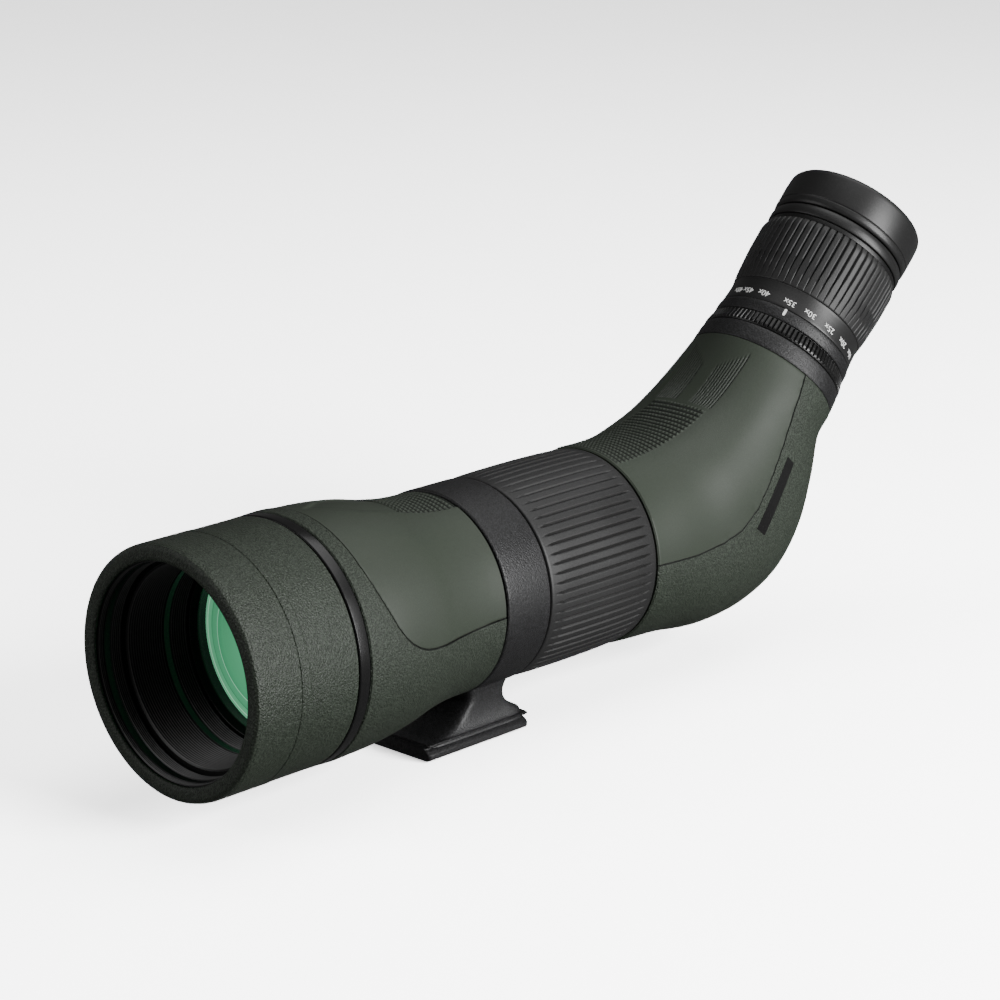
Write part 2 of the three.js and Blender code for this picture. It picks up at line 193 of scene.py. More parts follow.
def turned(name, outline, place=about_barrel, sides=192, closed=True):
    """The outline's (radius, station) points are carried round the axis by place.

    A third column, where there is one, goes along as the relief that the ridged finish reads for its painted
    crest highlights.
    """
    outline = np.asarray(outline, float)
    turn = np.linspace(0, 2 * np.pi, sides, endpoint=False)
    points = place(outline[:, :1], turn[None, :], outline[:, 1:2])
    carried = None
    if outline.shape[1] > 2:
        carried = {"relief": np.broadcast_to(outline[:, 2:], (len(outline), sides))}
    return grid_piece(name, points, wrap_rows=closed, carried=carried)


def smooth_through(x, known_x, known_y):
    """Cubic Hermite through the known points, with slopes taken between their neighbours."""
    known_x, known_y = np.asarray(known_x, float), np.asarray(known_y, float)
    slope = np.gradient(known_y, known_x)
    k = np.clip(np.searchsorted(known_x, x) - 1, 0, len(known_x) - 2)
    step = known_x[k + 1] - known_x[k]
    t = np.clip((x - known_x[k]) / step, 0, 1)
    rest = 1 - t
    return (
        known_y[k] * (1 + 2 * t) * rest ** 2 + slope[k] * step * t * rest ** 2
        + known_y[k + 1] * (3 - 2 * t) * t ** 2 - slope[k + 1] * step * rest * t ** 2
    )


def side_of(u, v, path):
    """Distance to a polyline, counted negative on its left and positive on its right."""
    path = np.asarray(path, float)
    start, along = path[:-1], np.diff(path, axis=0)
    du = u[..., None] - start[:, 0]
    dv = v[..., None] - start[:, 1]
    t = np.clip((du * along[:, 0] + dv * along[:, 1]) / (along ** 2).sum(1), 0, 1)
    gap = np.hypot(du - t * along[:, 0], dv - t * along[:, 1])
    nearest = gap.argmin(-1)[..., None]
    cross = np.take_along_axis(along[:, 0] * dv - along[:, 1] * du, nearest, -1)[..., 0]
    return -np.sign(cross) * np.take_along_axis(gap, nearest, -1)[..., 0]


def ramp(value, low, high):
    """0 below low, 1 above high, and a smooth step between them."""
    t = np.clip((value - low) / (high - low), 0, 1)
    return t * t * (3 - 2 * t)


print("a softened square has", len(softened([(0, 0), (1, 0), (1, 1), (0, 1)])), "points")


# %% [markdown]
# ## Finishes
# The armour is moulded rubber with a fine pebble, like orange peel at half a millimetre. The collar,
# foot and eyepiece seat carry a black wrinkle paint. Both come from one grain effect, built once as a
# node group and placed in each material with its own size. A second effect, slow and broad, breaks up
# gloss and shade where hands have polished the surface.

# %% Shared effects: grain and handling
def new_group(name, inputs, outputs):
    group = bpy.data.node_groups.new(name, "ShaderNodeTree")
    for label, value in inputs:
        socket = group.interface.new_socket(name=label, in_out="INPUT", socket_type="NodeSocketFloat")
        socket.default_value = value
    for label in outputs:
        group.interface.new_socket(name=label, in_out="OUTPUT", socket_type="NodeSocketFloat")
    enter = group.nodes.new("NodeGroupInput")
    leave = group.nodes.new("NodeGroupOutput")
    return group, enter, leave


def math_node(tree, operation, first, second=None):
    """One arithmetic step. A number is set on its socket, an output is linked to it."""
    node = tree.nodes.new("ShaderNodeMath")
    node.operation = operation
    for socket, value in zip(node.inputs, (first, second)):
        if isinstance(value, (int, float)):
            socket.default_value = value
        elif value is not None:
            tree.links.new(value, socket)
    return node.outputs[0]


def remap(tree, value, low, high, to_low=0.0, to_high=1.0):
    node = tree.nodes.new("ShaderNodeMapRange")
    node.interpolation_type = "SMOOTHSTEP"
    tree.links.new(value, node.inputs["Value"])
    for label, number in (("From Min", low), ("From Max", high), ("To Min", to_low), ("To Max", to_high)):
        node.inputs[label].default_value = number
    return node.outputs["Result"]


def make_grain():
    """Height is two octaves of noise over soft cells, Fleck is a sparse mask of raised dots."""
    group, enter, leave = new_group("surface_grain", [("Per Metre", 1500.0), ("Roundness", 0.5)],
                                    ["Height", "Fleck"])
    place = group.nodes.new("ShaderNodeTexCoord")
    noise = group.nodes.new("ShaderNodeTexNoise")
    noise.inputs["Detail"].default_value = 2.0
    noise.inputs["Roughness"].default_value = 0.55
    cells = group.nodes.new("ShaderNodeTexVoronoi")
    cells.feature = "SMOOTH_F1"
    for texture in (noise, cells):
        group.links.new(place.outputs["Object"], texture.inputs["Vector"])
        group.links.new(enter.outputs["Per Metre"], texture.inputs["Scale"])
    dome = math_node(group, "SUBTRACT", 1.0, cells.outputs["Distance"])
    round_part = math_node(group, "MULTIPLY", dome, enter.outputs["Roundness"])
    rough_share = math_node(group, "SUBTRACT", 1.0, enter.outputs["Roundness"])
    rough_part = math_node(group, "MULTIPLY", noise.outputs["Fac"], rough_share)
    height = math_node(group, "ADD", round_part, rough_part)
    group.links.new(height, leave.inputs["Height"])
    group.links.new(remap(group, noise.outputs["Fac"], 0.42, 0.62), leave.inputs["Fleck"])
    return group


def make_handling():
    """Polish is broad noise: 0 where the surface is fresh, 1 where hands rub it."""
    group, enter, leave = new_group("handling", [("Per Metre", 18.0)], ["Polish"])
    place = group.nodes.new("ShaderNodeTexCoord")
    noise = group.nodes.new("ShaderNodeTexNoise")
    noise.inputs["Detail"].default_value = 3.0
    group.links.new(place.outputs["Object"], noise.inputs["Vector"])
    group.links.new(enter.outputs["Per Metre"], noise.inputs["Scale"])
    group.links.new(remap(group, noise.outputs["Fac"], 0.35, 0.7), leave.inputs["Polish"])
    return group


GRAIN = make_grain()
HANDLING = make_handling()
print("shared effects:", GRAIN.name, HANDLING.name)


# %% One recipe for painted and moulded surfaces
def shader_in(tree, kind="BSDF_PRINCIPLED"):
    return next(node for node in tree.nodes if node.type == kind)


def blank_material(name):
    material = bpy.data.materials.new(name)
    material.use_nodes = True
    return material, material.node_tree, shader_in(material.node_tree)


def mesh_mark(tree, label):
    """The numbers that a mesh carries under this label."""
    node = tree.nodes.new("ShaderNodeAttribute")
    node.attribute_name = label
    return node.outputs["Fac"]


def placed_group(tree, group, **values):
    node = tree.nodes.new("ShaderNodeGroup")
    node.node_tree = group
    for label, value in values.items():
        node.inputs[label.replace("_", " ")].default_value = value
    return node


def mixed_color(tree, mask, low, high):
    node = tree.nodes.new("ShaderNodeMix")
    node.data_type = "RGBA"
    tree.links.new(mask, node.inputs["Factor"])
    for socket, value in ((node.inputs[6], low), (node.inputs[7], high)):
        if isinstance(value, tuple):
            socket.default_value = (*value, 1.0)
        else:
            tree.links.new(value, socket)
    return node.outputs[2]


def bump(tree, shader, height, distance):
    node = tree.nodes.new("ShaderNodeBump")
    node.inputs["Strength"].default_value = 1.0
    node.inputs["Distance"].default_value = distance
    tree.links.new(height, node.inputs["Height"])
    tree.links.new(node.outputs["Normal"], shader.inputs["Normal"])


HAND_POLISH = 0.1


def coated(name, dark, light, rough, grain_per_metre, grain_mm, roundness=0.5, metallic=0.0, specular=0.3):
    """Flecked colour over grain, with roughness that falls where the surface has been handled."""
    material, tree, shader = blank_material(name)
    grain = placed_group(tree, GRAIN, Per_Metre=grain_per_metre, Roundness=roundness)
    hand = placed_group(tree, HANDLING)
    tree.links.new(mixed_color(tree, grain.outputs["Fleck"], dark, light), shader.inputs["Base Color"])
    gloss = remap(tree, hand.outputs["Polish"], 0, 1, rough, rough - HAND_POLISH)
    tree.links.new(gloss, shader.inputs["Roughness"])
    shader.inputs["Metallic"].default_value = metallic
    shader.inputs["Specular IOR Level"].default_value = specular
    bump(tree, shader, grain.outputs["Height"], grain_mm * MM)
    return material


GREEN_DARK = (0.009, 0.013, 0.008)
GREEN_LIGHT = (0.028, 0.036, 0.026)
SATIN_DARK = (0.021, 0.027, 0.019)
SATIN_LIGHT = (0.024, 0.031, 0.022)
# Painted shade: the colours given to the seam groove and to the grooves between the knurls.
SEAM_GROOVE_SHADE = (0.003, 0.004, 0.003)
KNURL_GROOVE_SHADE = (0.002, 0.003, 0.002)
pebble_armour = coated("armour_pebble", GREEN_DARK, GREEN_LIGHT, 0.56, 1800, 0.55)
wrinkle_black = coated("wrinkle_black", (0.005, 0.005, 0.005), (0.016, 0.016, 0.017), 0.48, 1900, 0.25, 0.3)
rib_rubber = coated("rib_rubber", (0.012, 0.012, 0.012), (0.017, 0.017, 0.017), 0.5, 2600, 0.05)
cup_rubber = coated("cup_rubber", (0.010, 0.010, 0.010), (0.013, 0.013, 0.013), 0.42, 2200, 0.03)
satin_black = coated("satin_black", (0.004, 0.004, 0.004), (0.006, 0.006, 0.006), 0.32, 2400, 0.02)
bore_black = coated("bore_black", (0.004, 0.004, 0.004), (0.006, 0.006, 0.006), 0.42, 2000, 0.02)
turned_steel = coated("turned_steel", (0.42, 0.42, 0.43), (0.55, 0.55, 0.56), 0.32, 900, 0.01, 0.2, 1.0)
turned_brass = coated("turned_brass", (0.50, 0.36, 0.17), (0.62, 0.46, 0.24), 0.34, 900, 0.01, 0.2, 1.0)
white_fill = coated("white_fill", (0.62, 0.62, 0.61), (0.74, 0.74, 0.73), 0.5, 1500, 0.02)
print("plain finishes:", len(bpy.data.materials))

# %% [markdown]
# ## Armour with a smooth panel
# On the body the same rubber has two finishes: pebble behind a thin seam, and a satin panel inside it.
# The mesh carries the distance to the seam at every point, in millimetres. The material reads that
# distance, so the seam stays a crisp hairline however coarse the mesh is; the seam groove and the grooves
# between the knurls get painted shade, a darker colour.

# %% Two-finish armour
def panel_armour():
    """Pebble where the seam distance is positive, satin where negative, painted shade in the groove at zero
    and between the knurls.
    """
    material, tree, shader = blank_material("armour_panels")
    seam = mesh_mark(tree, "seam_mm")
    grain = placed_group(tree, GRAIN, Per_Metre=1800.0, Roundness=0.5)
    fine = placed_group(tree, GRAIN, Per_Metre=2800.0, Roundness=0.3)
    hand = placed_group(tree, HANDLING)
    pebble_side = remap(tree, seam, -0.15, 0.15)
    width = math_node(tree, "ABSOLUTE", seam)
    groove = remap(tree, width, 0.1, 0.34, 1.0, 0.0)
    pebble = mixed_color(tree, grain.outputs["Fleck"], GREEN_DARK, GREEN_LIGHT)
    satin = mixed_color(tree, fine.outputs["Fleck"], SATIN_DARK, SATIN_LIGHT)
    both = mixed_color(tree, pebble_side, satin, pebble)
    # Painted shade: the grooves between the knurls, then the seam groove, are coloured darker.
    knurl_shaded = mixed_color(tree, mesh_mark(tree, "relief"), both, KNURL_GROOVE_SHADE)
    seam_shaded = mixed_color(tree, groove, knurl_shaded, SEAM_GROOVE_SHADE)
    tree.links.new(seam_shaded, shader.inputs["Base Color"])
    shader.inputs["Specular IOR Level"].default_value = 0.3
    gloss = remap(tree, hand.outputs["Polish"], 0, 1, 0.56, 0.48)
    extra = math_node(tree, "MULTIPLY", pebble_side, 0.08)
    tree.links.new(math_node(tree, "ADD", gloss, extra), shader.inputs["Roughness"])
    coarse = math_node(tree, "MULTIPLY", grain.outputs["Height"], pebble_side)
    smooth_share = math_node(tree, "MULTIPLY", fine.outputs["Height"], 0.10)
    surface = math_node(tree, "ADD", coarse, smooth_share)
    depth = math_node(tree, "MULTIPLY", groove, 1.4)
    bump(tree, shader, math_node(tree, "SUBTRACT", surface, depth), 0.55 * MM)
    return material


armour_panels = panel_armour()
print("armour finish:", armour_panels.name)

# %% [markdown]
# ## Ridges that stay readable
# Fine ridges inside a dark tube all but vanish when both faces are the same black. On the real scope the
# crests catch more light, so the mesh carries how deep each point lies and the finish paints a highlight
# on the crests: a lighter colour that stands for that light.

# %% Ridged finish
PAINTED_CREST_HIGHLIGHT = (0.055, 0.055, 0.055)


def ridged_finish():
    """Matt black with a painted highlight: the crests are coloured lighter than the grooves between them."""
    material = coated("ridge_black", (0.003, 0.003, 0.003), (0.005, 0.005, 0.005), 0.45, 2000, 0.02)
    tree = material.node_tree
    shader = shader_in(tree)
    # Painted highlight: the lighter colour goes on the crests, where relief is low.
    crest_highlight = remap(tree, mesh_mark(tree, "relief"), 0.15, 0.6, 1.0, 0.0)
    flecked = shader.inputs["Base Color"].links[0].from_socket
    tree.links.new(mixed_color(tree, crest_highlight, flecked, PAINTED_CREST_HIGHLIGHT), shader.inputs["Base Color"])
    return material


ridge_black = ridged_finish()
print("ridge finish:", ridge_black.name)

# %% [markdown]
# ## The sunshade
# The shade is a metal sleeve in a thick rubber jacket. Its rim is broad and rounded, with a hairline
# where the rubber wraps over, and two fine lines run round it a third of the way back.

# %% Sunshade jacket and sleeve
RIM_R = (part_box("sunshade_armour")[1][0]) / MM
SHADE_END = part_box("sunshade_armour")[1][1] / MM - rim_y
LINE_STATION = 18.8
CREASE_STATION = 22.8

hood = softened([
    (39.6, SHADE_END), (39.6, 1.8), (37.25, 1.6), (37.2, 0.7, 0.5), (38.4, 0.15, 0.6), (41.4, 0.0, 0.8),
    (42.35, 0.55, 0.35), (42.6, 0.75, 0.2), (RIM_R, 2.2, 0.9),
    (RIM_R, LINE_STATION - 0.3, 0.1), (RIM_R - 0.35, LINE_STATION, 0.08), (RIM_R, LINE_STATION + 0.3, 0.1),
    (RIM_R, CREASE_STATION - 0.25, 0.2), (RIM_R - 0.18, CREASE_STATION + 0.15, 0.2),
    (RIM_R - 0.15, SHADE_END, 0.4),
])
jacket = turned("sunshade_jacket", hood, sides=256)
settle(jacket, "sunshade", pebble_armour, "green_armour", "sunshade_armour")


def ridged(start, end, count, radius_start, radius_end, depth):
    """Rows of (radius, station, relief): even V grooves cut to depth on a straight taper."""
    station = np.linspace(start, end, 4 * count + 1)
    phase = np.abs((np.arange(4 * count + 1) % 4) - 2) / 2
    radius = np.linspace(radius_start, radius_end, 4 * count + 1) + depth * phase
    return np.stack([radius, station, phase], axis=1)


def level_run(*points):
    """Plain rows of an outline that also has ridges."""
    return [(radius, station, 0.6) for radius, station in points]


sleeve = np.concatenate([
    level_run((39.3, SHADE_END - 0.3), (39.3, 1.9), (37.2, 1.9)),
    ridged(2.0, 4.0, 3, 36.7, 36.7, 0.5), level_run((36.55, 4.2), (36.5, 6.6)),
    ridged(6.7, 10.6, 5, 36.0, 36.0, 0.6), level_run((36.3, 10.9), (37.3, 11.2), (37.3, SHADE_END - 0.3)),
])
settle(turned("sunshade_sleeve_ridged", sleeve), "sunshade", ridge_black, "black_metal",
       "sunshade_sleeve", "filter_thread_ring")

# %% [markdown]
# ## The objective
# Inside the shade sits a ridged barrel that kills stray light, then the cell, then the glass. The
# coating throws back green, strongest at a grazing view, and the edges of the glasses deeper in show
# as bright rings. Both are painted reflections in the glass colour, and the glass glows faintly with them.

# %% Ridged barrel and lens cell
barrel = np.concatenate([
    level_run((36.2, 61.2), (36.2, 14.2), (37.05, 13.9), (37.05, 12.1), (36.8, 11.8), (34.9, 11.8)),
    ridged(12.0, 26.6, 15, 34.0, 33.3, 0.85), level_run((33.2, 26.9), (33.2, 29.2), (33.5, 29.4)),
    ridged(29.6, 36.2, 7, 32.9, 32.7, 0.8), level_run((33.2, 36.6), (33.1, 61.2)),
])
barrel_piece = turned("objective_barrel_ridged", barrel)
settle(barrel_piece, "scope_body", ridge_black, "black_metal", "objective_barrel")

cell = softened([
    (32.8, 60.4), (32.8, 36.9, 0.2), (32.0, 36.9, 0.2), (31.2, 38.6, 0.4), (30.7, 39.4, 0.2),
    (30.7, 40.2, 0.1), (31.7, 40.4, 0.1), (31.7, 60.4),
], 0.1)
settle(turned("objective_cell_lipped", cell), "scope_body", satin_black, "black_metal", "objective_cell")


# %% Coated glass, with painted reflections and glow
def coated_glass(name, centre, rings, outer):
    """Distance from the axis picks a painted reflection colour, also used as glow. rings lists both ends
    first, then the stops between.
    """
    material, tree, shader = blank_material(name)
    place = tree.nodes.new("ShaderNodeTexCoord")
    shift = tree.nodes.new("ShaderNodeMapping")
    shift.inputs["Location"].default_value = [-c * MM for c in centre]
    tree.links.new(place.outputs["Object"], shift.inputs["Vector"])
    parts = tree.nodes.new("ShaderNodeSeparateXYZ")
    tree.links.new(shift.outputs["Vector"], parts.inputs["Vector"])
    square_x = math_node(tree, "MULTIPLY", parts.outputs["X"], parts.outputs["X"])
    square_z = math_node(tree, "MULTIPLY", parts.outputs["Z"], parts.outputs["Z"])
    radius = math_node(tree, "SQRT", math_node(tree, "ADD", square_x, square_z))
    radius = math_node(tree, "DIVIDE", radius, outer * MM)
    reflection_glow = tree.nodes.new("ShaderNodeValToRGB")
    tree.links.new(radius, reflection_glow.inputs["Fac"])
    ramp_stops = reflection_glow.color_ramp.elements
    for position, color in rings[2:]:
        stop = ramp_stops.new(position)
        stop.color = (*color, 1)
    for stop, (position, color) in zip((ramp_stops[0], ramp_stops[-1]), rings[:2]):
        stop.position = position
        stop.color = (*color, 1)
    # Painted reflection and glow: the ring colours go into the base colour and the emission, so the glass
    # shines though it is no lamp.
    tree.links.new(reflection_glow.outputs["Color"], shader.inputs["Base Color"])
    tree.links.new(reflection_glow.outputs["Color"], shader.inputs["Emission Color"])
    shader.inputs["Emission Strength"].default_value = 0.5
    shader.inputs["Transmission Weight"].default_value = 0.25
    shader.inputs["Roughness"].default_value = 0.03
    shader.inputs["IOR"].default_value = 1.52
    shader.inputs["Coat Weight"].default_value = 0.6
    shader.inputs["Coat Tint"].default_value = (0.55, 1.0, 0.75, 1.0)
    return material


def lens(name, radius, front_sag, rear_sag, edge_front, edge_rear, place=about_barrel):
    """Two shallow domes: station = edge +- sag (1 - (r / R)^2), joined by the ground edge."""
    r = np.linspace(0, radius, 24)
    front = np.stack([r, edge_front - front_sag * (1 - (r / radius) ** 2)], axis=1)
    rear = np.stack([r, edge_rear + rear_sag * (1 - (r / radius) ** 2)], axis=1)[::-1]
    return turned(name, np.concatenate([front, rear]), place, sides=128, closed=False)


# Painted reflections on the objective: greens for the coating, with pale thin stops for glints off the edges
# of the glasses deeper in.
LENS_GREEN = (0.13, 0.42, 0.27)
PAINTED_EDGE_GLINT = (0.70, 0.95, 0.82)
objective_painted_glass = coated_glass("objective_painted_glass", (0, 0, axis_z), [
    (0.0, (0.22, 0.56, 0.38)), (1.0, (0.38, 0.66, 0.52)),
    (0.62, (0.17, 0.48, 0.31)), (0.755, LENS_GREEN), (0.765, PAINTED_EDGE_GLINT), (0.775, (0.20, 0.52, 0.35)),
    (0.865, (0.16, 0.44, 0.29)), (0.872, (0.06, 0.20, 0.13)), (0.880, (0.19, 0.48, 0.33)),
    (0.945, (0.28, 0.58, 0.42)), (0.955, (0.85, 1.0, 0.92)), (0.968, (0.28, 0.54, 0.41)),
], 31.3)
settle(lens("objective_glass", 31.3, 3.2, 2.0, 43.6, 47.4), "scope_body", objective_painted_glass, "coated_glass",
       "objective_front_lens")

# %% [markdown]
# ## The front body
# Behind the shade runs a narrow black band, and behind that the armour, which draws in to the collar.
# A satin panel wraps over the top and ends in a rounded corner at the side. On top, a shallow leaf
# shaped dish runs back to a cross-cut thumb pad.

# %% Band and front armour
def ends_of(node):
    """First and last station of a solid along the barrel."""
    return [corner[1] / MM - rim_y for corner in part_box(node)]


BAND = ends_of("name_band")
band = softened([
    (40.0, BAND[0]), (42.6, BAND[0], 0.1), (42.95, BAND[0] + 0.35, 0.1), (42.95, BAND[1] - 0.35, 0.1),
    (42.6, BAND[1], 0.1), (40.0, BAND[1]),
], 0.1)
settle(turned("plain_band", band), "scope_body", satin_black, "black_plastic", "name_band")

FRONT_START, FRONT_END = 49.1, 119.4
FRONT_STATIONS = [FRONT_START, 54, 59, 68, 77, 86, 94, 104, 112, FRONT_END]
FRONT_RADII = [43.1, 43.2, 43.0, 42.6, 41.7, 40.3, 38.5, 36.9, 36.3, 36.2]
PANEL_TURN_MM = 39.0
FRONT_SEAM = [
    (55.9, -5), (55.9, 0), (55.9, 10), (55.9, 21), (56.2, 30), (57.2, 36), (58.6, 41.5), (60.4, 46.2),
    (62.8, 51.4), (65.4, 55), (68.4, 57.8), (72, 60), (76, 61.6), (80.5, 62.4), (86, 62.8), (94, 62.8),
    (107, 62.6), (122, 62.1),
]
PAD_START = 93.8
LEAF_STATIONS = [60, 64, 68, 73, 78, 86, 93, 101, 111, 120]
LEAF_HALF_DEG = [0.5, 3, 6, 11, 14.6, 16.3, 16.8, 19, 20.5, 21]
LEAF_DEPTH, PANEL_STEP, SEAM_DEPTH, SEAM_HALF = 0.80, 0.25, 0.30, 0.45
KNURL_HEIGHT, WALL, END_ROUND, END_RUN = 0.75, 2.4, 0.5, 0.4


def waffle(u, v, pitch_u=2.3, pitch_v=1.6):
    """Crossed V grooves: the lesser of two triangle waves, one along each direction."""
    first = np.abs((u / pitch_u) % 1 - 0.5) * 2
    second = np.abs((v / pitch_v) % 1 - 0.5) * 2
    return np.minimum(first, 0.25 + 0.75 * second)


def uneven(limits, counts):
    """Stations from limits[0] to limits[-1], with counts[k] even steps in stretch k."""
    stretches = [np.linspace(a, b, n, endpoint=False) for a, b, n in zip(limits, limits[1:], counts)]
    return np.concatenate(stretches + [[limits[-1]]])


# Steps are fine where the seam crosses and across the thumb pad, and coarse on plain skin.
limits = [FRONT_START, FRONT_START + END_RUN, 55, 57.2, PAD_START - END_RUN, FRONT_END - END_RUN, FRONT_END]
station = uneven(limits, [3, 6, 10, 40, 128, 3])
turn = np.radians(uneven([-180, -95, -85, -24, 24, 85, 95, 180], [50, 14, 50, 160, 50, 14, 50]))[:-1]
station, turn = np.meshgrid(station, turn, indexing="ij")
turn_deg = np.degrees(np.abs(turn))
radius = smooth_through(station, FRONT_STATIONS, FRONT_RADII)
seam = side_of(station, np.abs(turn) * PANEL_TURN_MM, FRONT_SEAM[::-1])
leaf = np.interp(station, LEAF_STATIONS, LEAF_HALF_DEG) - turn_deg
leaf = np.where(station < LEAF_STATIONS[0], -5, leaf) * PANEL_TURN_MM * np.pi / 180
pad = ramp(leaf, 0.1, 0.9) * ramp(station, PAD_START, PAD_START + 0.8)
knurl = waffle(station, turn * 37.0)
radius = radius - LEAF_DEPTH * ramp(leaf, 0.0, 0.7) - PANEL_STEP * ramp(-seam, -0.3, 0.3)
radius = radius - SEAM_DEPTH * ramp(SEAM_HALF - np.abs(seam), 0, SEAM_HALF)
radius = radius + pad * (KNURL_HEIGHT * knurl + 0.1)
front_round = ramp(FRONT_START + END_RUN - station, 0, END_RUN)
radius = radius - END_ROUND * (front_round + ramp(station, FRONT_END - END_RUN, FRONT_END))
skin = about_barrel(radius, turn, station)
few = station[::16, :1][::-1]
back = about_barrel(smooth_through(few, FRONT_STATIONS, FRONT_RADII) - WALL, turn[:1], few)
hidden = np.zeros(back.shape[:2])
# Painted shade: relief marks the grooves between the knurls, which the armour finish colours darker; seam_mm
# also places the painted shade of the seam groove.
marks = {"seam_mm": np.concatenate([seam, hidden - 5]),
         "relief": np.concatenate([pad * (1 - ramp(knurl, 0.05, 0.7)), hidden])}
front_skin = grid_piece("front_armour_skin", np.concatenate([skin, back]), wrap_rows=True, carried=marks)
settle(front_skin, "scope_body", armour_panels, "green_armour", "front_armour")

# %% [markdown]
# ## Collar, neck and dovetail foot
# The collar and foot are one casting on the real scope. The neck rises from the whole length of the
# foot and draws in to the width of the collar, so each level of it is a rectangle with round corners
# whose ends follow a curve. The foot itself is one profile drawn out along the barrel.

# %% Collar ring
COLLAR = ends_of("collar_liner")
COLLAR_R = 36.3
ring = softened([(33.1, COLLAR[0]), (COLLAR_R - 0.5, COLLAR[0], 0.3), (COLLAR_R, COLLAR[0] + 0.6, 0.4),
                 (COLLAR_R, COLLAR[1] - 0.6, 0.4), (COLLAR_R - 0.5, COLLAR[1], 0.3), (33.1, COLLAR[1])])
settle(turned("collar_ring", ring), "mount", wrinkle_black, "black_metal", "collar_and_foot")

# %% Neck
NECK_HEIGHTS = [4.6, 5.6, 6.2, 7.4, 9.0, 11.0, 13.2, 15.0, 15.7, 18.6, 21.5, 24.0]
NECK_FRONT = [-24.3, -24.0, -20.5, -14.6, -9.8, -6.6, -4.3, -2.6, -2.3, -2.3, -2.3, -2.3]
NECK_BACK = [24.4, 24.4, 24.4, 24.2, 21.6, 18.4, 16.5, 15.9, 15.8, 16.6, 18.2, 18.4]
NECK_HALF = [20.0, 19.6, 19.0, 18.3, 17.8, 17.5, 17.4, 17.45, 17.5, 17.8, 18.6, 20.0]


def rounded_rectangle(around, power=9.0):
    """Superellipse |x|^n + |y|^n = 1 with a large n: a square with tight round corners."""
    c, s = np.cos(around), np.sin(around)
    size = (np.abs(c) ** power + np.abs(s) ** power) ** (-1 / power)
    return c * size, s * size


level = np.linspace(NECK_HEIGHTS[0], NECK_HEIGHTS[-1], 60)[:, None]
around = np.linspace(0, 2 * np.pi, 160, endpoint=False)[None, :]
across, along = rounded_rectangle(around)
ends = [smooth_through(level, NECK_HEIGHTS, known) for known in (NECK_FRONT, NECK_BACK, NECK_HALF)]
neck_y = (ends[0] + ends[1]) / 2 + along * (ends[1] - ends[0]) / 2
neck = np.stack(np.broadcast_arrays(across * ends[2], neck_y, level), axis=-1)
settle(grid_piece("collar_neck", capped(neck)), "mount", wrinkle_black, "black_metal", "collar_and_foot")

# %% Dovetail foot
FOOT_HALF = 24.5
half_profile = np.array([
    (18.6, 0.0), (19.6, 0.5), (20.0, 1.2), (20.0, 2.3), (19.6, 2.8), (17.6, 4.0), (17.5, 4.3), (18.0, 4.6),
    (19.7, 5.2), (20.0, 5.6), (19.6, 6.0), (18.6, 6.2),
])
mirror = half_profile[::-1] * [-1, 1]
profile = np.concatenate([half_profile, mirror])
steps = np.array([-1, -0.985, -0.97, 0.97, 0.985, 1]) * FOOT_HALF
shrink = np.array([0.97, 0.99, 1, 1, 0.99, 0.97])
middle = np.array([0, 3.1])
outline = middle + (profile[None] - middle) * shrink[:, None, None]
outline[..., 1] = np.maximum(outline[..., 1], 0)
foot = np.stack(np.broadcast_arrays(outline[..., 0], steps[:, None], outline[..., 1]), axis=-1)
foot_piece = grid_piece("dovetail_foot", capped(foot), sharp_deg=25)
settle(foot_piece, "mount", wrinkle_black, "black_metal", "collar_and_foot")

# %% [markdown]
# ## Ribbed rings
# The focusing ring is a rubber sleeve with long flutes that run out in points before its edges. The
# zoom grip has the same kind of flute, deep at the eye end and fading towards the scale, and the lock
# ring has short square ribs. All three are one surface whose radius drops along each flute.

# %% Flutes and ribs
def flutes(turn, count, sharpness):
    """1 at the bottom of each narrow flute and 0 on the broad rib between flutes."""
    phase = np.abs(((turn * count / (2 * np.pi)) % 1) - 0.5) * 2
    return ramp(phase, 1 - sharpness, 1.0)


def ribbed(name, place, stations, radii, inner, count, sharpness, depth, fade_low, fade_high, per_rib=14):
    """r = outline(station) - depth x flute x fade, over a plain bore."""
    turn = np.linspace(0, 2 * np.pi, count * per_rib, endpoint=False)
    edge = 0.3
    station = uneven([stations[0], stations[0] + edge, stations[-1] - edge, stations[-1]], [3, 54, 3])
    station, turn = np.meshgrid(station, turn, indexing="ij")
    radius = smooth_through(station, stations, radii)
    inside = flutes(turn, count, sharpness)
    length = ramp(station, *fade_low) * (1 - ramp(station, *fade_high))
    radius = radius - depth * ramp(inside + length - 1, 0, 1)
    near_low = ramp(stations[0] + edge - station, 0, edge)
    near_high = ramp(station - stations[-1] + edge, 0, edge)
    radius = radius - 0.35 * (near_low + near_high)
    bore = np.full((1, turn.shape[1]), float(inner))
    back = [place(bore, turn[:1], np.full_like(bore, station[row, 0])) for row in (-1, 0)]
    points = np.concatenate([place(radius, turn, station), *back])
    return grid_piece(name, points, wrap_rows=True, sharp_deg=50)


FOCUS = ends_of("focus_grip")
focus_ring = ribbed(
    "focus_grip_fluted", about_barrel, [FOCUS[0], 147, 158, 170, 182, 191, FOCUS[1]],
    [35.9, 36.3, 36.6, 36.7, 36.6, 36.3, 35.9], inner=34.0, count=66, sharpness=0.40, depth=0.95,
    fade_low=(142.2, 149.0), fade_high=(188.5, 195.8),
)
settle(focus_ring, "focus_ring", rib_rubber, "black_rubber", "focus_grip")

# %% [markdown]
# ## The rear body
# The body behind the focusing ring bends through 45 degrees and bulges below to hold the prisms. Its
# skin is a fan of sections about one line: each section is a squared ellipse with its own reach above
# and below, so the whole bulge comes from nine rows of numbers. A second thumb pad, a set of fine
# grooves and the satin panel are laid on by moving points along the section.

